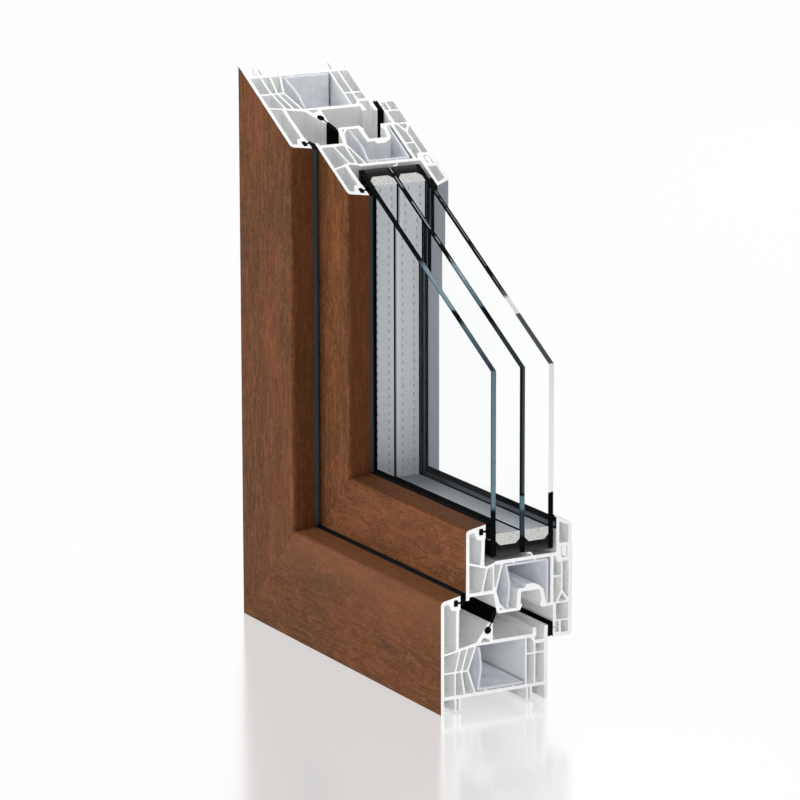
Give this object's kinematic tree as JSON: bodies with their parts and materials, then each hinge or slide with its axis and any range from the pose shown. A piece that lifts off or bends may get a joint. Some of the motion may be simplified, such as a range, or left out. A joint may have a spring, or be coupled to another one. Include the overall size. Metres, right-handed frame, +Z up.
{
  "type": "window frame profile section",
  "caption": "Corner section of a hollow plastic window frame with sash, steel stiffeners, gaskets and triple glazing, cut square on the rail and on a slope above.",
  "frame": {"origin": "on the standing plane under the middle of the outer box", "axes": "+X along the lower rail away from the corner, +Y from outside to inside, +Z up"},
  "size_m": [0.284, 0.1006, 0.393],
  "materials": {
    "pvc": "satin extruded, sawn at the cuts",
    "foil": "embossed wood grain film",
    "steel": "zinc coated",
    "glass": "clear, edges cut",
    "spacer": "matt foam",
    "sealant": "matt",
    "gasket": "matt extruded"
  },
  "bodies": {
    "root": {"frame_rail": "pvc", "frame_upright": "pvc", "sash_rail": "pvc", "sash_upright": "pvc", "bead_rail": "pvc", "bead_upright": "pvc", "frame_rail_foil": "foil", "frame_upright_foil": "foil", "sash_rail_foil": "foil", "sash_upright_foil": "foil", "frame_rail_steel": "steel", "frame_upright_steel": "steel", "sash_rail_steel": "steel", "sash_upright_steel": "steel", "pane_outer": "glass", "pane_middle": "glass", "pane_inner": "glass", "spacer_outer": "spacer", "spacer_inner": "spacer", "sealant_outer": "sealant", "sealant_inner": "sealant", "frame_stop_gasket": "gasket", "middle_gasket": "gasket", "sash_stop_gasket": "gasket", "glazing_gasket_outer": "gasket", "glazing_gasket_inner": "gasket"}
  },
  "joints": []
}
